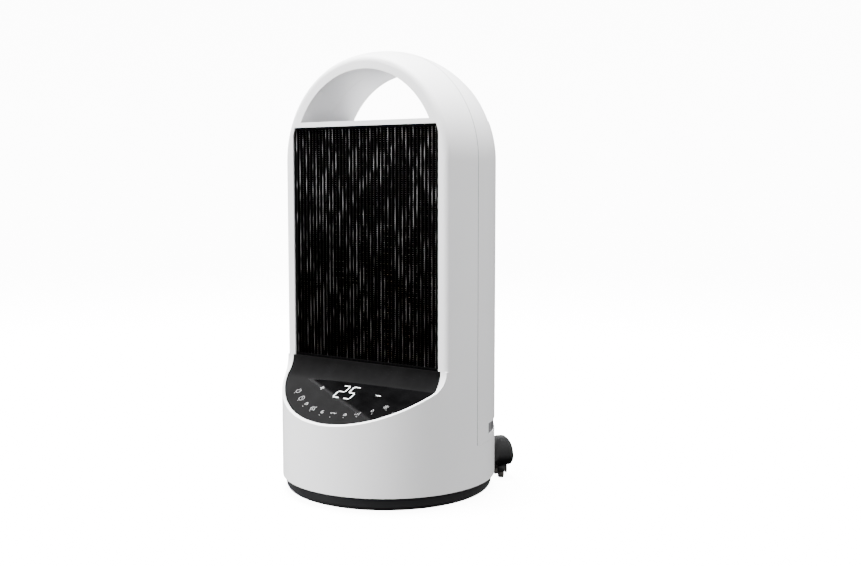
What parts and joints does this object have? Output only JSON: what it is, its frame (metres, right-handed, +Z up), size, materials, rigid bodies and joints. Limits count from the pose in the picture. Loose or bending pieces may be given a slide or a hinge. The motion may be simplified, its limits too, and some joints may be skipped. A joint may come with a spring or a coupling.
{
  "type": "ceramic space heater",
  "caption": "Upright round-bodied ceramic fan heater with a flat arched grille front, a hoop handle over the top, a sloping touch panel and a swinging foot.",
  "frame": {"origin": "centre of the heater's footprint, on the surface it stands on; the swing axis passes through it", "axes": "+Z up along the swing axis, the grille and panel face -Y, +X to the right of someone looking along +Y"},
  "size_m": [0.2165, 0.3115, 0.405],
  "materials": {
    "shell_white": "satin",
    "foot_black": "fine texture",
    "rubber": "matt",
    "grille_black": "satin",
    "panel_gloss": "gloss",
    "inner_grey": "matt",
    "vent_grey": "matt",
    "ivory": "satin",
    "board": "solder mask",
    "steel": "plain",
    "screw_steel": "plated",
    "zinc_sheet": "galvanised",
    "fin_aluminium": "mill",
    "bush_brass": "sintered",
    "pin_brass": "plated",
    "filter_net": "woven net",
    "cord_black": "satin",
    "plug_black": "satin"
  },
  "bodies": {
    "base": {"base_foot": "foot_black", "rubber_feet": "rubber", "base_cover": "inner_grey", "base_weight": "steel", "base_screws": "screw_steel", "glide_ring": "ivory", "swing_gear": "ivory", "gear_screws": "screw_steel", "tilt_spring": "screw_steel", "tilt_switch": "foot_black", "cord_gland": "cord_black", "cord_lead": "cord_black", "cord_coil": "cord_black", "cord_tail": "cord_black", "plug_body": "plug_black", "plug_pins": "pin_brass"},
    "tilt_button": {"tilt_plunger": "ivory"},
    "body": {"front_shell": "shell_white", "rear_shell": "shell_white", "shell_screws": "screw_steel", "turntable": "inner_grey", "turntable_screws": "screw_steel", "front_grille": "grille_black", "control_panel": "panel_gloss", "touch_board": "board", "power_board": "board", "heat_duct": "zinc_sheet", "ptc_frame": "ivory", "ptc_bars": "fin_aluminium", "ptc_fins": "fin_aluminium", "thermal_cutout": "inner_grey", "fan_housing": "inner_grey", "fan_motor": "steel", "motor_bracket": "zinc_sheet", "top_bush": "bush_brass", "swing_motor": "steel", "vent_strip": "vent_grey", "rocker_frame": "foot_black"},
    "fan": {"fan_wheel": "inner_grey", "fan_shaft": "steel"},
    "pinion": {"swing_pinion": "ivory"},
    "filter": {"filter_cover": "shell_white", "filter_mesh": "filter_net"},
    "rocker": {"power_rocker": "foot_black"}
  },
  "joints": [
    {"name": "oscillation", "type": "hinge", "parent": "base", "child": "body", "pos_m": [0, 0, 0.02], "axis": [0, 0, 1], "range_deg": [-35, 35]},
    {"name": "fan_spin", "type": "hinge", "parent": "body", "child": "fan", "pos_m": [0, 0.036, 0.2], "axis": [0, 0, 1], "continuous": true},
    {"name": "pinion_spin", "type": "hinge", "parent": "body", "child": "pinion", "pos_m": [0, 0.04515, 0.0265], "axis": [0, 0, 1], "range_deg": [-141, 141]},
    {"name": "filter_pull", "type": "slide", "parent": "body", "child": "filter", "axis": [0, 1, 0], "range_m": [0, 0.06]},
    {"name": "power_switch", "type": "hinge", "parent": "body", "child": "rocker", "pos_m": [0, 0.0934, 0.036], "axis": [0, 0, 1], "range_deg": [-7, 7]},
    {"name": "tilt_press", "type": "slide", "parent": "base", "child": "tilt_button", "axis": [0, 0, -1], "range_m": [0, 0.003], "stiffness_N_per_m": 60, "springref_m": 0.004}
  ],
  "couplings": [
    {"joint": "pinion_spin", "follows": "oscillation", "ratio": 4}
  ]
}
